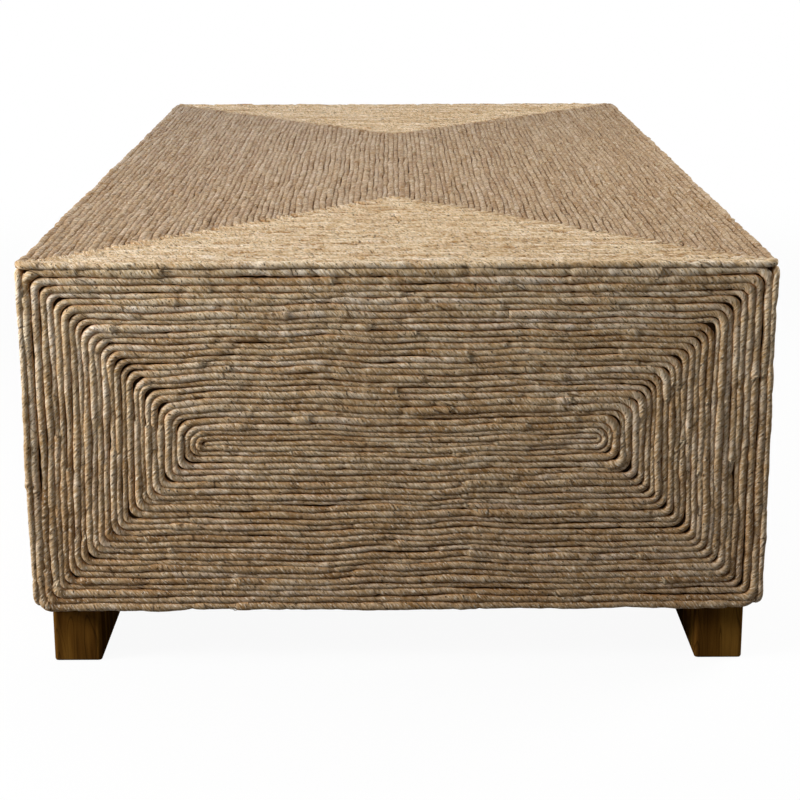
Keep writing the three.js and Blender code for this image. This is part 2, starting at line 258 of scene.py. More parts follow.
@dataclass
class SpiralLine:
    """The middle line of a rope wound inwards as a rectangle: straight rows and round corners.

    Rows run left, up, right and down in turn. Row i belongs to loop i // 4, and lies at that loop's
    inset from its edge of the face. The last row runs along the middle. Before the first row, the
    rope leads in along an arc round the outside of the lower right corner, where the second loop
    begins.
    """

    half: np.ndarray
    widths: np.ndarray
    squeeze: float
    radii: np.ndarray
    tip_room: float = 0.5 * MM

    def __post_init__(self) -> None:
        """Works out where rows meet, and how long each row and each corner is."""
        insets = np.cumsum(self.widths) - self.widths / 2
        rows = np.arange(ROWS_IN_LOOP * (len(self.widths) - 1) + 1)
        loop, kind = np.divmod(rows, ROWS_IN_LOOP)
        level = np.where(kind == 0, -1, 1) * (self.half[1] - insets[loop])
        upright = np.where(kind == 1, -1, 1) * (self.half[0] - self.squeeze * insets[loop])
        flat = kind % 2 == 0
        corner_x = np.where(flat[1:], upright[:-1], upright[1:])
        corner_y = np.where(flat[1:], level[1:], level[:-1])
        lower_right = self.radii[ROWS_IN_LOOP - 1]
        start = [self.half[0] - self.widths[0] / 2 - lower_right, level[0]]
        end = [-(self.half[0] - self.squeeze * (insets[-2] + self.widths[-2])), level[-1]]
        self.nodes = np.vstack([start, np.column_stack([corner_x, corner_y]), end])
        self.heading = np.array([[-1, 0], [0, 1], [1, 0], [0, -1]], float)[kind]
        spans = np.abs(self.nodes[1:] - self.nodes[:-1]).sum(axis=1)
        bends = np.minimum(self.radii, np.minimum(spans[:-1], spans[1:]) / 2)
        self.bends = np.concatenate([[0], bends, [0]])
        self.lengths = np.empty(2 * len(rows) - 1)
        self.lengths[0::2] = spans - self.bends[:-1] - self.bends[1:]
        self.lengths[1::2] = bends * math.pi / 2
        self.lead_radius = lower_right + (self.widths[0] + self.widths[1]) / 2
        reach = lower_right + self.widths[0] / 2 - self.tip_room
        self.lead = float(self.lead_radius * math.asin(reach / self.lead_radius))
        self.marks = np.concatenate([[0], np.cumsum(self.lengths)]) + self.lead

    @property
    def length(self) -> float:
        """The whole length of the line."""
        return float(self.marks[-1])

    def rows_ended(self, along: np.ndarray) -> np.ndarray:
        """How many rows end before each distance along the line."""
        return np.searchsorted(self.marks[1::2], along)

    def stations(self, step: float, fewest_in_bend: int) -> np.ndarray:
        """Sets rings along the line, evenly within each row and each corner.

        Args:
            step: The widest gap between two rings.
            fewest_in_bend: How many gaps a corner has at least.

        Returns:
            The rings' distances, from 0 to the line's length.
        """
        lead = np.linspace(0, self.lead, math.ceil(self.lead / step) + 1)[:-1]
        fewest = np.where(np.arange(len(self.lengths)) % 2 == 1, fewest_in_bend, 1)
        counts = np.maximum(np.ceil(self.lengths / step).astype(int), fewest)
        owner = np.repeat(np.arange(len(counts)), counts)
        place = np.arange(len(owner)) - np.repeat(np.cumsum(counts) - counts, counts)
        rest = self.marks[owner] + place / counts[owner] * self.lengths[owner]
        return np.concatenate([lead, rest, [self.length]])

    def at(self, along: np.ndarray) -> tuple[np.ndarray, np.ndarray, np.ndarray, np.ndarray]:
        """Finds places on the line.

        On a row, the place is the row's start plus the distance passed times its heading. In a
        corner of radius r, after an angle a, it is the corner's centre plus r * (before * sin a -
        after * cos a), where before and after are the headings of the rows that it joins. On the
        lead-in, an angle a before the first row, it is the row's start plus r * (heading * sin a +
        up * (1 - cos a)), with a negative.

        Args:
            along: Distances along the line.

        Returns:
            The places, the directions there, the radius of each bend, which is infinite on a row,
            and how far into a corner each place is: sin(2 a), 1 in its middle and 0 on a row.
        """
        part = np.searchsorted(self.marks, along, side="right") - 1
        part = np.clip(part, 0, len(self.lengths) - 1)
        passed = np.maximum(along - self.marks[part], 0)
        row = part // 2
        bending = part % 2 == 1
        corner = np.where(bending, row + 1, row)
        before = self.heading[row]
        after = self.heading[np.minimum(row + 1, len(self.heading) - 1)]
        radius = self.bends[corner]
        angle = np.where(bending, passed / np.maximum(radius, TINY), 0)
        cosine, sine = np.cos(angle)[:, None], np.sin(angle)[:, None]
        centre = self.nodes[corner] + radius[:, None] * (after - before)
        round_place = centre + radius[:, None] * (before * sine - after * cosine)
        row_place = self.nodes[row] + before * (self.bends[row] + passed)[:, None]
        place = np.where(bending[:, None], round_place, row_place)
        direction = np.where(bending[:, None], before * cosine + after * sine, before)
        turned = (np.minimum(along - self.lead, 0) / self.lead_radius)[:, None]
        up = np.array([0.0, 1.0])
        leading = before * np.cos(turned) + up * np.sin(turned)
        place = place + self.lead_radius * (before * np.sin(turned) + up * (1 - np.cos(turned)))
        direction = np.where(turned < 0, leading, direction)
        return place, direction, np.where(bending, radius, np.inf), np.sin(2 * angle)


@dataclass(frozen=True)
class RopeMake:
    """How the rope is made: one uneven strand of twisted leaf, with a leaf spliced in at times.

    The depths of lumps, swells, flares, drops and pinches are shares of its thickness. Its height
    follows them less than its width does, and a power of its row's width. Angles are those of a
    ring's points, in degrees.
    """

    edge_width: float = 7.5 * MM
    second_width: float = 6.9 * MM
    height: float = 6.9 * MM
    height_base: float = 0.35
    height_follow: float = 0.65
    width_power: float = 0.25
    press: float = 1.08
    lay_length: float = 22 * MM
    lobe_depth: float = 0.022
    width_scatter: float = 0.17
    lump_length: float = 10 * MM
    lump_depth: float = 0.09
    swell_length: float = 48 * MM
    swell_depth: float = 0.16
    splice_gap: float = 0.36
    flare_length: float = 17 * MM
    flare_depth: float = 0.2
    drop_length: float = 8 * MM
    drop_depth: float = 0.2
    pinch_gap: float = 0.07
    pinch_length: float = 2.6 * MM
    pinch_depth: float = 0.28
    least_pinch: float = 0.2
    gap_scatter: Pair = (0.3, 1.7)
    wander_length: float = 32 * MM
    wander_reach: float = 0.8 * MM
    rise_reach: float = 0.55 * MM
    row_rise_wanders: float = 3
    ring_step: float = 3.7 * MM
    bend_steps: int = 5
    squareness: float = 2.5
    angles: tuple[float, ...] = (-90, -30, 12, 50, 90, 130, 168, 210)

    @property
    def girth(self) -> float:
        """The way round the rope."""
        return math.pi * self.height

    @property
    def turn(self) -> float:
        """The angle between the rope and its leaves, whose tangent is girth over lay length."""
        return math.atan2(self.girth, self.lay_length)

    def section(self) -> np.ndarray:
        """A ring's angles in radians, from the underside round to it, without the closing one."""
        return np.radians(np.array(self.angles))


@dataclass
class Winding:
    """One face's rope, which is cut into several pieces along its length.

    What is given for the rows of a loop comes in the order lower, left, upper and right, and for
    its corners in the order lower left, upper left, upper right and lower right. The edge loops
    are those over which bends and elbows change from the edge's to the inner ones, and the rope has
    its usual width from a loop further out. An elbow is how much thicker the rope is in the middle
    of a corner. Tones are pairs for red and blue. Most of them paint light and shade into the
    rope's colour: paler crosswise rows on the top, a painted sheen on the crowns, and painted
    shade on the flanks and towards the foot.
    """

    side: Side
    loops: int
    parts: int
    seed: int
    make: RopeMake
    squeeze: float = 1.0
    upper_bend: float = 10 * MM
    lower_bend: float = 11 * MM
    edge_loops: int = 6
    usual_from: int = 3
    edge_bend_share: float = 0.9
    inner_bend_share: float = 2.15
    bend_scatter: float = 0.34
    least_scatter: float = 0.2
    corner_shares: Four = (0.8, 1.0, 0.92, 0.74)
    bend_fill: float = 0.96
    sway_reach: float = 0.9 * MM
    cap_shares: Four = (0, 0.1, 0.35, 0.7)
    tip_share: float = 0.03
    tuck: float = 1.5 * MM
    tuck_scale: float = 0.55
    thin_start: float = 0.9
    thin_leads: float = 1.6
    board_gap: float = 0.1 * MM
    edge_elbow: float = 0.26
    inner_elbow: Four = (0.12, 0.1, 0.0, 0.06)
    edge_press: float = 1.08
    edge_out: Four = mm(0.35, 0.35, 0.35, 0.35)
    edge_rise: Four = mm(0.4, 0.4, 0.4, 0.4)
    second_share: float = 0.45
    # painted light on the top: crosswise rows paler, lengthwise darker; one tint on the walls
    crosswise_tint_and_light: Pair = (1.07, 0.96)
    lengthwise_tint_and_light: Pair = (1.07, 0.96)
    # painted sheen on the crowns, and painted shade, warm, on the flanks
    crown_painted_sheen: Pair = (1.0, 1.16)
    flank_painted_shade: Pair = (1.12, 0.55)
    flank_from: float = 36
    flank_to: float = 94
    # painted shade: upright faces darker towards the foot, lighter towards the head
    foot_painted_shade: Pair = (0.16, 0.26)
    outward_from: float = 0.01
    block_length: float = 8.0
    block_shift: float = 0.5
    strip_margin: float = 0.06
    fan_hub: float = 0.05
    fan_rim: float = 0.1

    def __post_init__(self) -> None:
        """Reads the face's place from the frame and lays out the rope."""
        low, high = (np.array(corner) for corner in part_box(f"{self.side.label}_winding"))
        size = high - low
        self.origin = (low + high) / 2 - self.side.out * abs(size @ self.side.out) / 2
        self.half = np.array([abs(size @ self.side.right), abs(size @ self.side.up)]) / 2
        self.draws = np.random.default_rng(self.seed)
        self.sway = Sway(self.draws, self.sway_reach)
        self.widths = self.row_widths()
        self.line = SpiralLine(self.half, self.widths, self.squeeze, self.bends())
        make, length = self.make, self.line.length
        self.lumps = Drift(length, make.lump_length, self.draws)
        self.swells = Drift(length, make.swell_length, self.draws)
        self.wander = Drift(length, make.wander_length, self.draws)
        self.rise = Drift(length, make.wander_length, self.draws)
        self.row_rise = Drift(length, make.row_rise_wanders * make.wander_length, self.draws)
        self.splices = self.scattered(make.splice_gap)
        self.pinches = self.scattered(make.pinch_gap)
        depths = self.draws.uniform(make.least_pinch, 1, len(self.pinches))
        self.pinch_depths = depths * make.pinch_depth

    def row_widths(self) -> np.ndarray:
        """Shares the face out among the loops.

        Returns:
            The width of each loop's rope from the edge inwards, and of the middle row, of which
            half the face holds one half.
        """
        make = self.make
        inner = 1 + self.draws.uniform(-1, 1, self.loops - 1) * make.width_scatter
        room = self.half[1] - make.edge_width - make.second_width
        inner *= room / (inner.sum() - inner[-1] / 2)
        return np.concatenate([[make.edge_width, make.second_width], inner])

    def bends(self) -> np.ndarray:
        """Draws the corners' radii: small on the outer loops, wider and uneven on the inner ones.

        Returns:
            The radius wanted at each corner, in which each has its own share of the wide radius.
        """
        loop, kind = np.divmod(np.arange(ROWS_IN_LOOP * self.loops), ROWS_IN_LOOP)
        grown = np.clip(loop / self.edge_loops, 0, 1)
        inner = self.inner_bend_share * np.array(self.corner_shares)[kind]
        share = self.edge_bend_share + grown * (inner - self.edge_bend_share)
        scatter = self.draws.uniform(-1, 1, len(loop)) * self.bend_scatter
        radii = self.widths[loop] * (share + scatter * np.clip(grown, self.least_scatter, 1))
        edge = np.where((kind == 1) | (kind == 2), self.upper_bend, self.lower_bend)
        return np.where(loop == 0, edge, radii)

    def scattered(self, gap: float) -> np.ndarray:
        """Draws places along the rope, about a gap apart."""
        gaps = self.draws.uniform(*self.make.gap_scatter, int(self.line.length / gap)) * gap
        return np.cumsum(gaps)[np.cumsum(gaps) < self.line.length]

    def joined(self, along: np.ndarray) -> np.ndarray:
        """Works out how the rope flares up to splices, drops behind them and has its pinches.

        The flare is the exponential of minus the distance ahead to the next splice over the flare's
        length. The drop is the same of the distance behind. A pinch is a bell curve around the
        nearest one.

        Args:
            along: Distances along the rope.

        Returns:
            What is added to the rope's relative thickness.
        """
        make = self.make
        passed = np.searchsorted(self.splices, along)
        ahead = np.append(self.splices, np.inf)[passed] - along
        behind = along - np.insert(self.splices, 0, -np.inf)[passed]
        flare = make.flare_depth * np.exp(-ahead / make.flare_length)
        drop = make.drop_depth * np.exp(-behind / make.drop_length)
        nearest = np.searchsorted((self.pinches[1:] + self.pinches[:-1]) / 2, along)
        pinch = np.exp(-((along - self.pinches[nearest]) / make.pinch_length) ** 2)
        return flare - drop - self.pinch_depths[nearest] * pinch

    def places(self, along: np.ndarray) -> tuple[np.ndarray, np.ndarray, np.ndarray, np.ndarray]:
        """Works out the rope's middle line with its sway and wander, and its thickness.

        Args:
            along: Distances along the rope.

        Returns:
            Places on the face, directions, half widths and half heights.
        """
        make = self.make
        place, direction, bend, elbow = self.line.at(along)
        across = np.column_stack([-direction[:, 1], direction[:, 0]])
        place = self.sway.moved(place, self.half)
        loop, kind = np.divmod(self.line.rows_ended(along), ROWS_IN_LOOP)
        shift = self.wander(along) * make.wander_reach + self.on_edge(along, self.edge_out)
        place = place + across * shift[:, None]
        swelling = 1 + make.lump_depth * self.lumps(along) + make.swell_depth * self.swells(along)
        swelling = swelling + self.joined(along)
        depth = np.clip(loop / self.edge_loops, 0, 1)
        inner_elbow = np.array(self.inner_elbow)[kind - 1]
        swelling = swelling + elbow * (self.edge_elbow + depth * (inner_elbow - self.edge_elbow))
        width = self.widths[np.minimum(loop, len(self.widths) - 1)]
        press = np.where(loop == 0, self.edge_press, make.press)
        half_width = np.minimum(press * width * swelling / 2, bend * self.bend_fill)
        half_height = make.height / 2 * (make.height_base + make.height_follow * swelling)
        usual_width = self.widths[self.usual_from:].mean()
        half_height = half_height * (width / usual_width) ** make.width_power
        return place, direction, half_width, half_height

    def on_edge(self, along: np.ndarray, values: Four) -> np.ndarray:
        """Spreads a value of each of the first loop's rows along the rope, even in its corners.

        Args:
            along: Distances along the rope.
            values: The value of each row of the first loop.

        Returns:
            The value at each place, a share of it on the second loop, and 0 past that.
        """
        first = np.repeat(values, 2)
        knots = np.concatenate([first, self.second_share * first, [0]])
        return np.interp(along, self.line.marks[:len(knots)], knots)

    def skin(
        self, along: np.ndarray, angle: np.ndarray, scale: np.ndarray, proud: np.ndarray
    ) -> np.ndarray:
        """Finds points on the rope's skin or a little off it.

        A point at angle a lies (half width * lobe + proud) * cos a across the rope, and (half
        height * lobe + proud) * sin a out from its middle. The lobe is 1 + lobe depth * cos(2 a -
        twist), where the twist grows by a turn in half a lay length, over the power mean (|cos a|
        ** n + |sin a| ** n) ** (1 / n), which makes the section squarer than an ellipse where n is
        above 2. The middle lies its half height above the board.

        Args:
            along: Distances along the rope, of shape (places,).
            angle: Angles round it at each of them, of shape (places, angles).
            scale: What the rope is scaled by, under 1 where it tapers, of shape (places, 1).
            proud: How far off the skin each point lies, of a shape that spreads to angle's.

        Returns:
            Points in metres, of shape (places, angles, 3).
        """
        make, side = self.make, self.side
        place, direction, half_width, half_height = self.places(along)
        twist = 2 * TURN * along / make.lay_length
        power = make.squareness
        mean = (np.abs(np.cos(angle)) ** power + np.abs(np.sin(angle)) ** power) ** (1 / power)
        lobe = scale * (1 + make.lobe_depth * np.cos(2 * angle - twist[:, None])) / mean
        across = np.column_stack([-direction[:, 1], direction[:, 0]])
        shift = (half_width[:, None] * lobe + proud) * np.cos(angle)
        flat = place[:, None, :] + across[:, None, :] * shift[:, :, None]
        rise = half_height[:, None] + (half_height[:, None] * lobe + proud) * np.sin(angle)
        uneven = (self.rise(along) + self.row_rise(along) - 1) * make.rise_reach / 2
        uneven = uneven + self.on_edge(along, self.edge_rise)
        rise = np.maximum(rise + uneven[:, None], self.board_gap)
        right, up = flat[..., :1] * side.right, flat[..., 1:] * side.up
        return self.origin + right + up + rise[..., None] * side.out

    def rings(self, along: np.ndarray, scale: np.ndarray) -> np.ndarray:
        """Sets a ring of points round the rope at each distance.

        Args:
            along: Distances along the rope.
            scale: What each ring is scaled by, under 1 where the rope tapers at an end.

        Returns:
            Points in metres, of shape (rings, points of a ring, 3).
        """
        angle = np.broadcast_to(self.make.section(), (len(along), len(self.make.angles)))
        return self.skin(along, angle, scale[:, None], np.zeros(1))

    def cuts(self) -> list[tuple[np.ndarray, np.ndarray]]:
        """Divides the rope into its pieces.

        Returns:
            For each piece, the distances of its rings and their scales. A cut end has one more
            ring, drawn in, which hides inside the next piece, and a real end is rounded off. The
            rope starts thin.
        """
        radius = self.make.height / 2
        cap = radius * np.array(self.cap_shares)
        stations = self.line.stations(self.make.ring_step, self.make.bend_steps)
        inner = stations[(stations > radius) & (stations < self.line.length - radius)]
        stations = np.concatenate([cap, inner, self.line.length - cap[::-1]])
        from_end = np.minimum(stations, self.line.length - stations)
        scales = np.sqrt(1 - (1 - np.clip(from_end / radius, self.tip_share, 1)) ** 2)
        growth = (1 - self.thin_start) * stations / (self.thin_leads * self.line.lead)
        scales = scales * np.clip(self.thin_start + growth, 0, 1)
        bounds = np.linspace(0, len(stations) - 1, self.parts + 1).astype(int)
        pieces = []
        for first, last in zip(bounds[:-1], bounds[1:]):
            along, scale = stations[first:last + 1], scales[first:last + 1]
            if first:
                along = np.append(along[0] - self.tuck, along)
                scale = np.append(self.tuck_scale, scale)
            if last < len(stations) - 1:
                along = np.append(along, along[-1] + self.tuck)
                scale = np.append(scale, self.tuck_scale)
            pieces.append((along, scale))
        return pieces

    def build(self, finish: bpy.types.Material) -> list[bpy.types.Object]:
        """Makes the rope's pieces, which stand for the face's winding.

        Args:
            finish: The rope's material.

        Returns:
            The pieces.
        """
        made = []
        for number, (along, scale) in enumerate(self.cuts(), start=1):
            points = self.rings(along, scale)
            count, sides = points.shape[:2]
            middles = points[[0, -1]].mean(axis=1)
            piece = solid(
                f"{self.side.label}_rope_{number}",
                np.vstack([points.reshape(-1, 3), middles]),
                [grid_faces(count, sides), end_fans(count, sides)],
                {
                    "lay": self.lay_map(along),
                    "tone": self.tint_and_light_map(along),
                    "OFBake": self.strip_map(count),
                },
                finish,
            )
            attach(piece, "root")
            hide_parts(f"{self.side.label}_winding")
            made.append(piece)
        log.info("%s: %.1f m of rope in %d pieces", self.side.label, self.line.length, len(made))
        return made

    def lay_map(self, along: np.ndarray) -> np.ndarray:
        """Lays the rope's skin out in metres: the way along it, and round from its underside.

        Every few metres the map starts again, shifted sideways, so that its numbers stay small
        enough to hold fine grain.

        Args:
            along: The distances of the piece's rings.

        Returns:
            A place for every corner of the tube's faces and then of its end fans.
        """
        turned = np.append(self.make.section(), TURN - math.pi / 2) + math.pi / 2
        round_way = turned / TURN * self.make.girth
        block = np.floor(along[:-1] / self.block_length)
        first = along[:-1] - block * self.block_length
        last = along[1:] - block * self.block_length
        sides = len(turned) - 1
        u = np.stack([first, first, last, last], axis=-1)[:, None, :].repeat(sides, axis=1)
        v = np.stack([round_way[:-1], round_way[1:], round_way[1:], round_way[:-1]], axis=-1)
        v = v[None] + (block * self.block_shift)[:, None, None]
        fans = np.zeros((2 * sides * 3, 2))
        fans[:, 0] = np.repeat([first[0], last[-1]], 3 * sides)
        return np.vstack([np.stack([u, v], axis=-1).reshape(-1, 2), fans])

    def tint_and_light_map(self, along: np.ndarray) -> np.ndarray:
        """Tints the rope with painted light and shade, by its direction, height and section.

        A tone is what the leaf's red and blue are multiplied by; its green takes their mean. With c
        the square of the direction's part across the face, the tone is lengthwise + c * (crosswise
        - lengthwise), which on the top paints crosswise rows paler and lengthwise ones darker.
        That is times 1 + foot shade * h, where h is -1 at the foot of an upright face and 1 at its
        head, a painted shade darker towards the foot. That is multiplied by a mix of the crown's
        painted sheen and the flank's painted shade, but the outward flank of the first loop lies
        open and keeps the crown's painted sheen.

        Args:
            along: The distances of the piece's rings.

        Returns:
            The tone for every corner, as in lay_map.
        """
        place, direction = self.line.at(along)[:2]
        # painted light on the top: crosswise rows paler, lengthwise rows darker
        lengthwise, crosswise = np.array(self.lengthwise_tint_and_light), np.array(self.crosswise_tint_and_light)
        tone = lengthwise + (direction[:, 1] ** 2)[:, None] * (crosswise - lengthwise)
        # painted shade, darker towards the foot of an upright face
        height = self.side.up[2] * place[:, 1] / self.half[1]
        tone = tone * (1 + height[:, None] * self.foot_painted_shade)
        # painted sheen on crowns, painted shade on flanks, none on the first loop's outer flank
        section = self.make.section()
        from_crown = np.abs(np.degrees(section) - 90)
        low = np.clip((from_crown - self.flank_from) / (self.flank_to - self.flank_from), 0, 1)
        first_loop = self.line.rows_ended(along) < ROWS_IN_LOOP
        low = low * ~(first_loop[:, None] & (np.cos(section) > self.outward_from))
        crown, flank = np.array(self.crown_painted_sheen), np.array(self.flank_painted_shade)
        tones = tone[:, None] * (crown + low[..., None] * (flank - crown))
        closed = np.concatenate([tones, tones[:, :1]], axis=1)
        here, there = closed[:-1], closed[1:]
        tube = np.stack([here[:, :-1], here[:, 1:], there[:, 1:], there[:, :-1]], axis=2)
        fans = np.repeat(tones[[0, -1]].mean(axis=1), 3 * len(section), axis=0)
        return np.concatenate([tube.reshape(-1, 2), fans])

    def strip_map(self, rings: int) -> np.ndarray:
        """Lays the skin out without overlaps in a unit square, in rows of cells.

        Each gap between two rings has one cell. The end fans take the first and the last cell, each
        spread from a hub at the cell's outer side.

        Args:
            rings: How many rings the piece has.

        Returns:
            A place for every corner, as in lay_map.
        """
        sides = len(self.make.angles)
        cells = rings + 1
        rows = math.ceil(math.sqrt(cells * self.make.ring_step / self.make.girth))
        per_row = math.ceil(cells / rows)
        edges = np.linspace(self.strip_margin, 1 - self.strip_margin, sides + 1)
        cell = np.arange(cells)
        low_u, low_v = (cell % per_row) / per_row, (cell // per_row) / rows
        high_u = low_u + 1 / per_row
        tube_u = np.stack([low_u, low_u, high_u, high_u], axis=-1)[1:-1]
        tube_v = np.stack([edges[:-1], edges[1:], edges[1:], edges[:-1]], axis=-1) / rows
        u = tube_u[:, None, :].repeat(sides, axis=1)
        v = tube_v[None] + low_v[1:-1, None, None]
        parts = [np.stack([u, v], axis=-1).reshape(-1, 2)]
        before, after = edges[:-1], edges[1:]
        for which, hub, rim, near, far in (
            (0, self.fan_hub, 1 - self.fan_rim, after, before),
            (-1, 1 - self.fan_hub, self.fan_rim, before, after),
        ):
            fan = np.empty((sides, 3, 2))
            fan[:, 0] = (hub, 0.5)
            fan[:, 1:, 0] = rim
            fan[:, 1, 1], fan[:, 2, 1] = near, far
            fan = fan * [1 / per_row, 1 / rows] + [low_u[which], low_v[which]]
            parts.append(fan.reshape(-1, 2))
        return np.vstack(parts)


@dataclass
class LeafEnds:
    """The pale cut ends of the leaves, one or two at each splice, that lift off the rope's skin.

    Shares and widths give a blade's rings: how far along it each lies, and its relative width.
    """

    winding: Winding
    seed: int
    shares: tuple[float, ...] = (0.0, 0.25, 0.5, 0.78, 1.0)
    widths: tuple[float, ...] = (0.75, 1.0, 0.9, 0.55, 0.08)
    length: Pair = mm(6, 13)
    half_width: Pair = mm(0.7, 1.4)
    half_thickness: float = 0.14 * MM
    sunk: float = 0.4 * MM
    lift: Pair = mm(0.4, 1.6)
    overlap: float = 4 * MM
    overlap_share: Pair = (0.5, 1.0)
    turn_share: Pair = (0.25, 1.25)
    degrees_round: Pair = (40, 140)
    second_share: float = 0.45
    end_room: float = MM

    def build(self, finish: bpy.types.Material) -> bpy.types.Object:
        """Makes all of a face's leaf ends as one piece.

        A blade starts in the rope shortly before its splice, runs along the twist of the leaves,
        and rises evenly to its tip. Each of its rings has four points: two at its edges, one on
        top and one below.

        Args:
            finish: The material of cut leaf.

        Returns:
            The piece.
        """
        draws = np.random.default_rng(self.seed)
        make, splices = self.winding.make, self.winding.splices
        doubled = draws.random(len(splices)) < self.second_share
        roots = np.sort(np.append(splices, splices[doubled]))[:, None]
        count, steps = len(roots), len(self.shares)
        share, widths = np.array(self.shares)[None, :], np.array(self.widths)[None, :]
        radius = make.height / 2
        length = draws.uniform(*self.length, roots.shape)
        heading = make.turn * draws.uniform(*self.turn_share, roots.shape)
        half = draws.uniform(*self.half_width, roots.shape) * widths
        overlap = self.overlap * draws.uniform(*self.overlap_share, roots.shape)
        along = roots - overlap + length * share * np.cos(heading)
        turned = length * (share - 0.5) * np.sin(heading) / radius
        angle = np.radians(draws.uniform(*self.degrees_round, roots.shape)) + turned
        proud = -self.sunk + (self.sunk + draws.uniform(*self.lift, roots.shape)) * share
        to_side = np.array([1.0, 0.0, -1.0, 0.0])
        to_top = np.array([0.0, 1.0, 0.0, -1.0])
        ring = len(to_side)
        ring_along = along[..., None] + (half * np.sin(heading))[..., None] * to_side
        ring_angle = angle[..., None] - (half * np.cos(heading) / radius)[..., None] * to_side
        ring_proud = proud[..., None] + self.half_thickness * to_top
        last_place = self.winding.line.length - self.end_room
        flat_along = np.clip(ring_along.ravel(), self.end_room, last_place)
        whole = np.ones((len(flat_along), 1))
        points = self.winding.skin(
            flat_along, ring_angle.reshape(-1, 1), whole, ring_proud.reshape(-1, 1)
        )
        points = points.reshape(count, steps * ring, 3)
        ends = np.stack([points[:, :ring].mean(axis=1), points[:, -ring:].mean(axis=1)], axis=1)
        points = np.concatenate([points, ends], axis=1)
        first = np.arange(count)[:, None, None] * points.shape[1]
        sides = (grid_faces(steps, ring) + first).reshape(-1, 4)
        fans = (end_fans(steps, ring) + first).reshape(-1, 3)
        label = self.winding.side.label
        piece = solid(f"{label}_leaf_ends", points.reshape(-1, 3), [sides, fans], {}, finish)
        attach(piece, "root")
        log.info("%s: %d leaf ends", label, count)
        return piece


@dataclass(frozen=True)
class Noise:
    """A noise: how long its grains are on each axis, where it starts, and how rough it is."""

    size: Triple = (1, 1, 1)
    start: Triple = (0, 0, 0)
    detail: float = 2.0
    roughness: float = 0.5
    distortion: float = 0.0


@dataclass(frozen=True)
class Span:
    """A range of values and what it is mapped to, clamped, eased at both ends where smooth."""

    low: float
    high: float
    to_low: float = 0.0
    to_high: float = 1.0
    smooth: bool = True


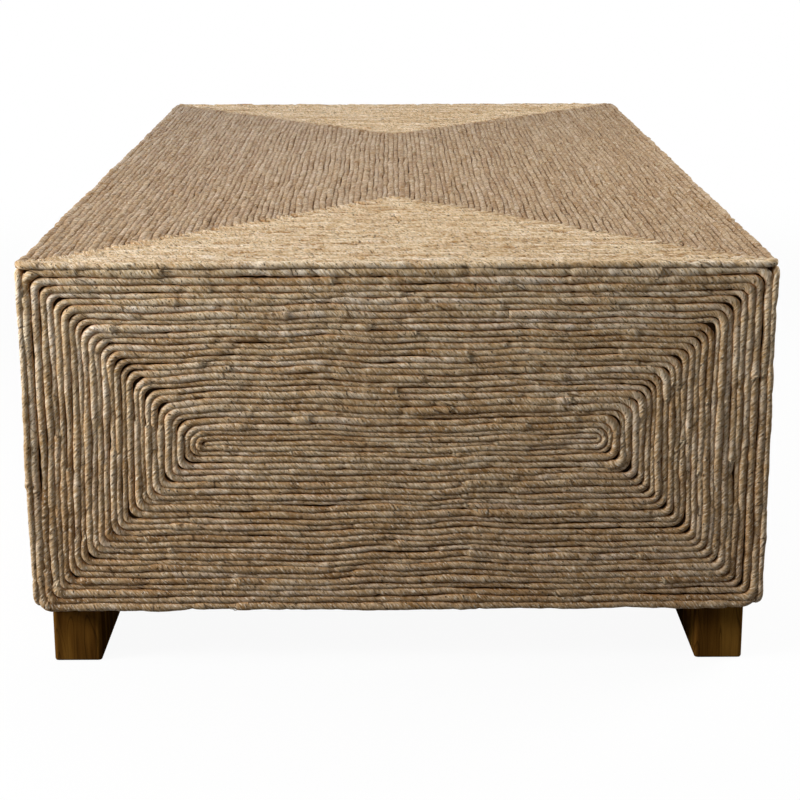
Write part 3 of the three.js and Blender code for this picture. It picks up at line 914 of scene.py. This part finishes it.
class Sheet:
    """The node tree of a material or a world, with short ways to add and join nodes."""

    def __init__(self, holder: bpy.types.Material | bpy.types.World) -> None:
        """Takes the holder's tree, with its principled surface where it has one.

        Args:
            holder: The material or world.
        """
        holder.use_nodes = True
        self.holder = holder
        self.tree = holder.node_tree
        self.surface = self.tree.nodes.get("Principled BSDF")

    def put(self, value: Socket | float | tuple, target: Socket) -> None:
        """Joins a socket to a target, or sets the target to a number, vector or colour.

        Args:
            value: The socket, number, vector or colour.
            target: The input that takes it.
        """
        if isinstance(value, Socket):
            self.tree.links.new(value, target)
        else:
            target.default_value = (*value, 1) if target.type == "RGBA" else value

    def add(
        self, kind: str, inputs: dict[str | int, Socket | float | tuple] | None = None,
        **settings: object,
    ) -> bpy.types.Node:
        """Adds a node.

        Args:
            kind: The node's type.
            inputs: What its inputs take, by name or number.
            settings: Its properties by name.

        Returns:
            The node.
        """
        node = self.tree.nodes.new(kind)
        for key, value in settings.items():
            setattr(node, key, value)
        for key, value in (inputs or {}).items():
            self.put(value, node.inputs[key])
        return node

    def coordinates(self, uv_map: str | None = None) -> Socket:
        """Finds the coordinates that a pattern lies on.

        Args:
            uv_map: A UV map's name.

        Returns:
            The named map, or the piece's own object coordinates where none is named.
        """
        if uv_map:
            return self.add("ShaderNodeUVMap", uv_map=uv_map).outputs["UV"]
        return self.add("ShaderNodeTexCoord").outputs["Object"]

    def grained(
        self, at: Socket, size: Triple, turn: float = 0.0, start: Triple = (0, 0, 0)
    ) -> Socket:
        """Measures coordinates in grains.

        Args:
            at: The coordinates.
            size: How long a grain is on each axis.
            turn: How far the axes are turned about the third.
            start: Where the grains start.

        Returns:
            The measured coordinates.
        """
        inputs = {"Vector": at, "Scale": size, "Rotation": (0, 0, turn), "Location": start}
        return self.add("ShaderNodeMapping", inputs, vector_type="TEXTURE").outputs["Vector"]

    def noise(self, at: Socket, noise: Noise, turn: float = 0.0, axes: str = "3D") -> Socket:
        """Lays a noise on coordinates.

        Args:
            at: The coordinates.
            noise: The noise.
            turn: How far its axes are turned about the third.
            axes: Whether it has two or three axes.

        Returns:
            A value around one half.
        """
        inputs = {
            "Vector": self.grained(at, noise.size, turn, noise.start),
            "Scale": 1.0,
            "Detail": noise.detail,
            "Roughness": noise.roughness,
            "Distortion": noise.distortion,
        }
        return self.add("ShaderNodeTexNoise", inputs, noise_dimensions=axes).outputs["Fac"]

    def ranged(self, value: Socket, span: Span) -> Socket:
        """Maps a value by a span.

        Args:
            value: The value.
            span: The range and what it is mapped to.

        Returns:
            The mapped value.
        """
        inputs = {
            "Value": value,
            "From Min": span.low,
            "From Max": span.high,
            "To Min": span.to_low,
            "To Max": span.to_high,
        }
        kind = "SMOOTHSTEP" if span.smooth else "LINEAR"
        return self.add("ShaderNodeMapRange", inputs, interpolation_type=kind).outputs["Result"]

    def math(self, operation: str, first: Socket | float, second: Socket | float = 0.0) -> Socket:
        """Works out an operation on one or two values."""
        node = self.add("ShaderNodeMath", {0: first, 1: second}, operation=operation)
        return node.outputs["Value"]

    def composed(self, red: Socket, green: Socket, blue: Socket) -> Socket:
        """Makes a colour of three values."""
        return self.add("ShaderNodeCombineColor", {0: red, 1: green, 2: blue}).outputs["Color"]

    def ramp(self, value: Socket, stops: Iterable[tuple[float, Triple]]) -> Socket:
        """Colours a value.

        Args:
            value: The value.
            stops: Places from 0 to 1 and the colours there.

        Returns:
            The colour.
        """
        node = self.add("ShaderNodeValToRGB", {"Fac": value})
        points = node.color_ramp.elements
        for number, (place, colour) in enumerate(stops):
            point = points[number] if number < len(points) else points.new(place)
            point.position = place
            point.color = (*colour, 1)
        return node.outputs["Color"]

    def blend(
        self, share: Socket | float, first: Socket | Triple, second: Socket | Triple,
        mode: str = "MIX",
    ) -> Socket:
        """Blends two colours; a mix node's colours are its inputs 6 and 7 and its output 2."""
        inputs = {"Factor": share, 6: first, 7: second}
        return self.add("ShaderNodeMix", inputs, data_type="RGBA", blend_type=mode).outputs[2]

    def tinted(self, colour: Socket, tint: Socket) -> Socket:
        """Multiplies a colour by another."""
        return self.blend(1.0, colour, tint, mode="MULTIPLY")

    def layered(self, colour: Socket, layers: Iterable[tuple[Socket, Triple]]) -> Socket:
        """Lays colours over a colour.

        Args:
            colour: The colour below.
            layers: How much of each further colour there is, and that colour.

        Returns:
            The colour on top.
        """
        for share, tint in layers:
            colour = self.blend(share, colour, tint)
        return colour

    def bumped(self, height: Socket, depth: float, strength: float) -> None:
        """Raises the surface.

        Args:
            height: The share of the depth that each place is raised by.
            depth: The depth in metres.
            strength: How strongly it shows.
        """
        inputs = {"Height": height, "Distance": depth, "Strength": strength}
        normal = self.add("ShaderNodeBump", inputs).outputs["Normal"]
        self.put(normal, self.surface.inputs["Normal"])

    def dressed(
        self, colour: Socket, roughness: Socket | float, shine: float = 0.5, metallic: float = 0.0
    ) -> bpy.types.Material:
        """Gives the surface its finish.

        Args:
            colour: Its colour.
            roughness: Its roughness.
            shine: How much it mirrors at its front.
            metallic: How much it is a metal.

        Returns:
            The material.
        """
        inputs = self.surface.inputs
        self.put(colour, inputs["Base Color"])
        self.put(roughness, inputs["Roughness"])
        self.put(shine, inputs["Specular IOR Level"])
        self.put(metallic, inputs["Metallic"])
        return self.holder

    def plainly_seen(self) -> Socket:
        """Tells the camera's rays, also by way of gloss or glass, from those that gather light.

        Returns:
            A value of 1 on the camera's rays, and 0 on the others.
        """
        path = self.add("ShaderNodeLightPath").outputs
        seen = self.math("MAXIMUM", path["Is Camera Ray"], path["Is Glossy Ray"])
        return self.math("MAXIMUM", seen, path["Is Transmission Ray"])


@dataclass(frozen=True)
class LeafRope:
    """Twisted dry leaf, on the rope's lay map: wraps, ridges, threads, open seams and specks.

    A wrap is a cell of leaf with its own tone and step. Its base colour runs from brown to pale by
    that tone and a slow drift, and turns to russet or ash by a slow change of hue. Ridges and
    patches then tint it from painted shade in the grooves, darker and warmer, to a painted sheen
    on the ridges, paler and cooler. Thin creases and open seams are painted shade.
    """

    make: RopeMake
    wrap: Triple = (64 * MM, 11 * MM, 1)
    drifts: Noise = Noise((240 * MM, 80 * MM, 1), detail=3)
    hues: Noise = Noise((60 * MM, 50 * MM, 1), (9, 4, 0))
    ridges: Noise = Noise((9 * MM, 1.6 * MM, 1), roughness=0.45)
    threads: Noise = Noise((5 * MM, 1.3 * MM, 1), (2, 1, 0))
    patches: Noise = Noise((9 * MM, 4 * MM, 1), (1, 5, 0))
    gates: Noise = Noise((26 * MM, 12 * MM, 1), (3, 7, 0))
    flecks: Noise = Noise((3.2 * MM, 2.2 * MM, 1), (5, 2, 0))
    brown: Triple = (0.37, 0.222, 0.095)
    tan: Triple = (0.50, 0.34, 0.175)
    straw: Triple = (0.60, 0.44, 0.255)
    pale: Triple = (0.71, 0.565, 0.40)
    tone_places: Four = (0.05, 0.33, 0.6, 0.95)
    ash: Triple = (0.60, 0.47, 0.30)
    russet: Triple = (0.45, 0.292, 0.15)
    fibre: Triple = (0.88, 0.79, 0.64)
    # groove: painted shade, darker and warmer; ridge: painted sheen, paler and cooler
    groove_shade: Triple = (0.68, 0.56, 0.39)
    ridge: Triple = (1.27, 1.34, 1.54)
    # painted shade in thin creases and open seams
    crease_shade: Triple = (0.11, 0.06, 0.026)
    speck: Triple = (0.05, 0.028, 0.012)
    own_tone: float = 0.42
    drift_tone: Span = Span(0.32, 0.68, 0.0, 0.58, smooth=False)
    russet_span: Span = Span(0.52, 0.64, 0.0, 0.5)
    ash_span: Span = Span(0.36, 0.48, 0.4, 0.0)
    ridge_shade: Span = Span(0.36, 0.64, 0.0, 0.66, smooth=False)
    patch_shade: Span = Span(0.3, 0.7, 0.0, 0.34, smooth=False)
    fibre_span: Span = Span(0.6, 0.7, 0.0, 0.75)
    crease_span: Span = Span(0.28, 0.4, 0.6, 0.0)
    seam_span: Span = Span(0.0, 0.05, 1.0, 0.0)
    open_span: Span = Span(0.56, 0.64, 0.06, 0.85)
    speck_span: Span = Span(0.67, 0.71, 0.0, 0.9)
    step_height: float = 0.28
    seam_depth: float = 0.5
    relief: float = 1.0 * MM
    roughness: float = 0.56
    shine: float = 0.08

    def build(self) -> bpy.types.Material:
        """Makes the material.

        Returns:
            The material.
        """
        sheet = Sheet(bpy.data.materials.new("leaf_rope"))
        lay, turn = sheet.coordinates("lay"), self.make.turn
        wraps = {"Vector": sheet.grained(lay, self.wrap, turn), "Scale": 1.0}
        cell, edge = (
            sheet.add("ShaderNodeTexVoronoi", wraps, voronoi_dimensions="2D", feature=feature)
            for feature in ("F1", "DISTANCE_TO_EDGE")
        )
        own = sheet.add("ShaderNodeSeparateColor", {"Color": cell.outputs["Color"]}).outputs
        drift, hue = (sheet.noise(lay, kind, axes="2D") for kind in (self.drifts, self.hues))
        ridge, thread, patch, gate, fleck = (
            sheet.noise(lay, kind, turn, "2D")
            for kind in (self.ridges, self.threads, self.patches, self.gates, self.flecks)
        )
        own_tone = sheet.math("MULTIPLY", own["Red"], self.own_tone)
        base_tone = sheet.math("ADD", own_tone, sheet.ranged(drift, self.drift_tone))
        tones = zip(self.tone_places, (self.brown, self.tan, self.straw, self.pale))
        colour = sheet.layered(sheet.ramp(base_tone, tones), (
            (sheet.ranged(hue, self.russet_span), self.russet),
            (sheet.ranged(hue, self.ash_span), self.ash),
        ))
        # real leaf ridges, bumped below; their groove-to-top tint is painted shade and sheen
        shades = sheet.ranged(ridge, self.ridge_shade), sheet.ranged(patch, self.patch_shade)
        shade = sheet.blend(sheet.math("ADD", *shades), self.groove_shade, self.ridge)
        colour = sheet.tinted(colour, shade)
        # the tone map's tint, with painted light, painted sheen and painted shade on the rope
        tone = sheet.add("ShaderNodeSeparateXYZ", {"Vector": sheet.coordinates("tone")}).outputs
        green = sheet.math("MULTIPLY", sheet.math("ADD", tone["X"], tone["Y"]), 0.5)
        colour = sheet.tinted(colour, sheet.composed(tone["X"], green, tone["Y"]))
        # open seams between wraps, darkened below as painted shade
        seam = sheet.ranged(edge.outputs["Distance"], self.seam_span)
        crack = sheet.math("MULTIPLY", seam, sheet.ranged(gate, self.open_span))
        colour = sheet.layered(colour, (
            (sheet.ranged(thread, self.fibre_span), self.fibre),
            # painted shade in thin creases and open seams
            (sheet.ranged(thread, self.crease_span), self.crease_shade),
            (crack, self.crease_shade),
            (sheet.ranged(fleck, self.speck_span), self.speck),
        ))
        step = sheet.math("MULTIPLY", own["Green"], self.step_height)
        raised = sheet.math("ADD", step, ridge)
        cut = sheet.math("MULTIPLY", crack, self.seam_depth)
        sheet.bumped(sheet.math("SUBTRACT", raised, cut), self.relief, 1.0)
        return sheet.dressed(colour, self.roughness, shine=self.shine)


@dataclass(frozen=True)
class CutLeaf:
    """The inside of a dry leaf: paler than its skin, with fine fibres and faint patches."""

    pale: Triple = (0.68, 0.55, 0.37)
    dull: Triple = (0.46, 0.34, 0.20)
    patches: Noise = Noise(mm(9, 9, 9))
    fibres: Noise = Noise(mm(0.6, 0.6, 0.6))
    patch_share: float = 0.7
    fibre_share: float = 0.3
    tone_places: Pair = (0.35, 0.62)
    relief: float = 0.2 * MM
    relief_strength: float = 0.8
    roughness: float = 0.62
    shine: float = 0.3

    def build(self) -> bpy.types.Material:
        """Makes the material on the piece's own coordinates.

        Returns:
            The material.
        """
        sheet = Sheet(bpy.data.materials.new("cut_leaf"))
        at = sheet.coordinates()
        patch, fibre = sheet.noise(at, self.patches), sheet.noise(at, self.fibres)
        patch_part = sheet.math("MULTIPLY", patch, self.patch_share)
        fibre_part = sheet.math("MULTIPLY", fibre, self.fibre_share)
        mixed = sheet.math("ADD", patch_part, fibre_part)
        colour = sheet.ramp(mixed, zip(self.tone_places, (self.dull, self.pale)))
        sheet.bumped(fibre, self.relief, self.relief_strength)
        return sheet.dressed(colour, self.roughness, shine=self.shine)


@dataclass(frozen=True)
class Timber:
    """Wood with its grain along one axis: broad bands, fine pores, and thin dark lines if wanted.

    Grain and pores give how long a band and a pore are on each axis.
    """

    name: str
    dark: Triple
    middle: Triple
    light: Triple
    grain: Triple
    pores: Triple
    roughness: float
    shine: float
    band_noise: Noise = Noise(detail=3, roughness=0.55, distortion=0.4)
    pore_noise: Noise = Noise(detail=2, roughness=0.6)
    line_noise: Noise = Noise(start=(0.3, 0.2, 0.1), detail=1, distortion=0.2)
    figure: Span = Span(0.36, 0.64, smooth=False)
    tone_places: Triple = (0.0, 0.5, 1.0)
    pore_shade: Span = Span(0.3, 0.62, 0.74, 1.06, smooth=False)
    line_shade: Span | None = None
    lines_per_noise: float = 16.0
    gloss_from: float = 0.3
    gloss_to: float = 0.7
    rougher: float = 0.08
    smoother: float = 0.06
    relief: float = 0.15 * MM
    relief_strength: float = 0.6

    def build(self) -> bpy.types.Material:
        """Makes the material on the piece's own coordinates.

        Returns:
            The material.
        """
        sheet = Sheet(bpy.data.materials.new(self.name))
        at = sheet.coordinates()
        band = sheet.noise(at, replace(self.band_noise, size=self.grain))
        pore = sheet.noise(at, replace(self.pore_noise, size=self.pores))
        tones = zip(self.tone_places, (self.dark, self.middle, self.light))
        colour = sheet.ramp(sheet.ranged(band, self.figure), tones)
        depth = sheet.ranged(pore, self.pore_shade)
        if self.line_shade:
            slow = sheet.noise(at, replace(self.line_noise, size=self.grain))
            off_line = sheet.math("FRACT", sheet.math("MULTIPLY", slow, self.lines_per_noise))
            depth = sheet.math("MULTIPLY", depth, sheet.ranged(off_line, self.line_shade))
        colour = sheet.tinted(colour, sheet.composed(depth, depth, depth))
        sheet.bumped(pore, self.relief, self.relief_strength)
        gloss = Span(
            self.gloss_from, self.gloss_to,
            self.roughness + self.rougher, self.roughness - self.smoother, smooth=False,
        )
        return sheet.dressed(colour, sheet.ranged(pore, gloss), shine=self.shine)


@dataclass(frozen=True)
class PlatedSteel:
    """Zinc plated steel with faint spangle and rub marks."""

    tint: Triple = (0.55, 0.55, 0.53)
    dull: Triple = (0.44, 0.44, 0.424)
    spangle: Noise = Noise(mm(2.2, 2.2, 2.2), detail=3)
    tone_places: Pair = (0.3, 0.7)
    gloss: Span = Span(0.3, 0.7, 0.28, 0.46)

    def build(self) -> bpy.types.Material:
        """Makes the material.

        Returns:
            The material.
        """
        sheet = Sheet(bpy.data.materials.new("plated_steel"))
        worn = sheet.noise(sheet.coordinates(), self.spangle)
        colour = sheet.ramp(worn, zip(self.tone_places, (self.dull, self.tint)))
        return sheet.dressed(colour, sheet.ranged(worn, self.gloss), metallic=1.0)


@dataclass
class Carcass:
    """The boards, frame, legs and screws that the windings hide or rest on."""

    finishes: dict[str, bpy.types.Material]

    def dress(self) -> int:
        """Gives every solid its finish by the slot that the record names for it.

        Returns:
            How many solids were dressed.
        """
        slots = {part["node"]: part["material_slot"] for part in frame["record"]["subparts"]}
        dressed = 0
        for name, node in frame["nodes"].items():
            finish = self.finishes.get(slots[name])
            if finish is None:
                continue
            node.data.materials.clear()
            node.data.materials.append(finish)
            log.info("%s: %s", name, finish.name)
            dressed += 1
        return dressed


@dataclass(frozen=True)
class Lamp:
    """A square soft lamp: its place, target and width in metres, and its power in watts."""

    name: str
    place: Triple
    target: Triple
    width: float
    power: float

    def build(self) -> None:
        """Makes the lamp and turns it to its target."""
        light = bpy.data.lights.new(self.name, "AREA")
        light.size = self.width
        light.energy = self.power
        holder = bpy.data.objects.new(self.name, light)
        aim = (Vector(self.target) - Vector(self.place)).to_track_quat("-Z", "Y")
        holder.matrix_world = Matrix.Translation(self.place) @ aim.to_matrix().to_4x4()
        bpy.context.scene.collection.objects.link(holder)


@dataclass(frozen=True)
class Studio:
    """A white floor, a white surround, and soft lamps in front, above, on both sides and behind.

    The floor is plain white beyond a reach around the table, and nearer keeps a share of shadow.
    """

    floor_half: float = 6.0
    floor_roughness: float = 0.9
    floor_grey: float = 0.12
    floor_white: float = 0.95
    shadow_share: float = 0.06
    white_from: float = 1.1
    white_to: float = 2.2
    surround: float = 0.075
    lamps: tuple[Lamp, ...] = (
        Lamp("key", (-2.1, -1.0, 0.97), (0, 0, 0.3), 0.7, 58.0),
        Lamp("front_fill", (-0.9, -1.6, 1.9), (0, 0, 0.3), 0.65, 10.5),
        Lamp("overhead", (1.3, -0.1, 1.35), (0.05, 0, 0.4), 0.8, 19.0),
        Lamp("right_fill", (2.7, 0.9, 0.5), (0.3, 0.0, 0.25), 1.2, 14.0),
        Lamp("back_fill", (-0.5, 3.2, 0.55), (0.0, 0.5, 0.25), 1.2, 20.0),
    )

    def build(self) -> None:
        """Makes the floor, the surround and the lamps."""
        self.floor()
        self.world()
        for lamp in self.lamps:
            lamp.build()

    def floor(self) -> None:
        """Makes the floor: white but for a faint shadow where it is seen, grey where it lights."""
        half = self.floor_half
        corners = np.array([[-half, -half, 0], [half, -half, 0], [half, half, 0], [-half, half, 0]])
        sheet = Sheet(bpy.data.materials.new("white_floor"))
        seen = sheet.plainly_seen()
        paint = sheet.ranged(seen, Span(0.0, 1.0, self.floor_grey, self.floor_white, smooth=False))
        floor_finish = sheet.dressed(paint, self.floor_roughness)
        away = sheet.add("ShaderNodeVectorMath", {0: sheet.coordinates()}, operation="LENGTH")
        open_floor = Span(self.white_from, self.white_to, 1 - self.shadow_share, 1.0)
        glow = sheet.math("MULTIPLY", seen, sheet.ranged(away.outputs["Value"], open_floor))
        white = sheet.add("ShaderNodeEmission").outputs["Emission"]
        layers = {"Fac": glow, 1: sheet.surface.outputs["BSDF"], 2: white}
        mixed = sheet.add("ShaderNodeMixShader", layers).outputs["Shader"]
        sheet.put(mixed, sheet.tree.nodes["Material Output"].inputs["Surface"])
        floor = solid("floor", corners, [np.array([[0, 1, 2, 3]])], {}, floor_finish)

    def world(self) -> None:
        """Makes the surround: white where it is seen, and a soft level where it lights."""
        world = bpy.data.worlds.new("studio")
        sheet = Sheet(world)
        back = sheet.tree.nodes["Background"].inputs
        level = sheet.ranged(sheet.plainly_seen(), Span(0.0, 1.0, self.surround, 1.0, smooth=False))
        sheet.put((1, 1, 1), back["Color"])
        sheet.put(level, back["Strength"])
        bpy.context.scene.world = world


@dataclass(frozen=True)
class Viewpoint:
    """The photograph's view of the front end, from a little above. Angles are in degrees."""

    place: Triple = mm(-3.7, -2140.6, 739.0)
    pitch: float = 13.14
    yaw: float = -0.235
    roll: float = -0.172
    focal_pixels: float = 1687.5
    frame_pixels: float = 800.0
    film: float = 36.0
    shift: float = -0.14
    farthest: float = 50.0

    def build(self) -> None:
        """Makes the camera: rolled on its own axis, tipped down, then turned about the upright."""
        lens = bpy.data.cameras.new("viewpoint")
        lens.sensor_width = self.film
        lens.lens = self.film * self.focal_pixels / self.frame_pixels
        lens.shift_y = self.shift
        lens.clip_end = self.farthest
        camera = bpy.data.objects.new("viewpoint", lens)
        tip = Matrix.Rotation(math.radians(90 - self.pitch), 4, "X")
        turn = Matrix.Rotation(math.radians(self.yaw), 4, "Z")
        lean = Matrix.Rotation(math.radians(self.roll), 4, "Z")
        camera.matrix_world = Matrix.Translation(self.place) @ turn @ tip @ lean
        bpy.context.scene.collection.objects.link(camera)
        bpy.context.scene.camera = camera


def carcass_finishes() -> dict[str, bpy.types.Material]:
    """Makes the finishes of the legs, boards, frame and screws.

    Returns:
        The materials, by the slots that the record names.
    """
    finishes = {
        "leg_wood": Timber(
            "oiled_teak",
            dark=(0.07, 0.027, 0.005),
            middle=(0.165, 0.072, 0.012),
            light=(0.26, 0.125, 0.022),
            grain=mm(20, 20, 240),
            pores=mm(1.5, 1.5, 28),
            roughness=0.42,
            shine=0.0,
            pore_shade=Span(0.3, 0.62, 0.9, 1.06, smooth=False),
            line_shade=Span(0.03, 0.2, 0.55, 1.0),
        ),
        "board": Timber(
            "stained_ply",
            dark=(0.055, 0.033, 0.017),
            middle=(0.090, 0.056, 0.029),
            light=(0.125, 0.080, 0.042),
            grain=mm(60, 9, 9),
            pores=mm(9, 1, 1),
            roughness=0.8,
            shine=0.05,
        ),
        "frame_wood": Timber(
            "planed_pine",
            dark=(0.30, 0.18, 0.085),
            middle=(0.45, 0.29, 0.15),
            light=(0.56, 0.39, 0.22),
            grain=mm(90, 90, 12),
            pores=mm(12, 12, 1.2),
            roughness=0.55,
            shine=0.3,
        ),
        "steel": PlatedSteel(),
    }
    return {slot: finish.build() for slot, finish in finishes.items()}


def wound_faces(make: RopeMake) -> list[Winding]:
    """Lays out the five faces' ropes.

    The top's rope is flatter and is pinched more often. The end faces' first loops reach out over
    the body's edges. The long sides' first loops are drawn in and sunk along the foot, where their
    corners are wide.

    Args:
        make: How the rope is made.

    Returns:
        The windings.
    """
    trodden = replace(
        make, height=6.4 * MM, press=1.05, squareness=3.4, width_scatter=0.15, lobe_depth=0.03,
        lump_depth=0.11, swell_depth=0.1, pinch_gap=0.036, pinch_depth=0.42,
        wander_length=24 * MM, wander_reach=0.62 * MM,
        angles=(-90, -30, 8, 38, 62, 90, 118, 142, 172, 210),
    )
    end = dict(loops=27, parts=3, make=make, squeeze=0.95, edge_out=mm(0.35, 2.2, 1.5, 2.2))
    long_side = dict(loops=27, parts=4, make=make)
    return [
        Winding(
            Side.TOP, loops=57, parts=8, seed=11, make=trodden, sway_reach=0.5 * MM,
            upper_bend=7.6 * MM, lower_bend=8 * MM, edge_elbow=0.34, inner_elbow=(0.16,) * 4,
            # painted light: paler crosswise rows, darker lengthwise rows and flanks
            crosswise_tint_and_light=(1.32, 1.26), lengthwise_tint_and_light=(0.83, 0.63), flank_painted_shade=(0.66, 0.33),
        ),
        Winding(Side.FRONT, seed=12, **end),
        Winding(Side.BACK, seed=13, **end),
        Winding(
            Side.LEFT, seed=14, upper_bend=14 * MM, lower_bend=8 * MM,
            edge_out=mm(1.5, 0.8, -2.0, 0.8), edge_rise=mm(0.9, 0.9, -4.0, 0.9), **long_side,
        ),
        Winding(
            Side.RIGHT, seed=15, upper_bend=8 * MM, lower_bend=14 * MM,
            edge_out=mm(-2.0, 0.8, 1.5, 0.8), edge_rise=mm(-4.0, 0.9, 0.9, 0.9), **long_side,
        ),
    ]


def main() -> None:
    """Builds the camera, the carcass's finishes, the five windings and the studio, in turn."""
    logging.basicConfig(level=logging.INFO, format="%(name)s: %(message)s")
    bpy.context.scene.view_settings.view_transform = "Standard"
    Viewpoint().build()
    make = RopeMake()
    rope = LeafRope(make).build()
    dressed = Carcass(carcass_finishes()).dress()
    log.info("carcass: %d solids dressed", dressed)
    windings = wound_faces(make)
    cut_leaf = CutLeaf().build()
    for winding in windings:
        winding.build(rope)
        LeafEnds(winding, seed=winding.seed + LEAF_SEED_STEP).build(cut_leaf)
    Studio().build()


if __name__ == "__main__":
    main()
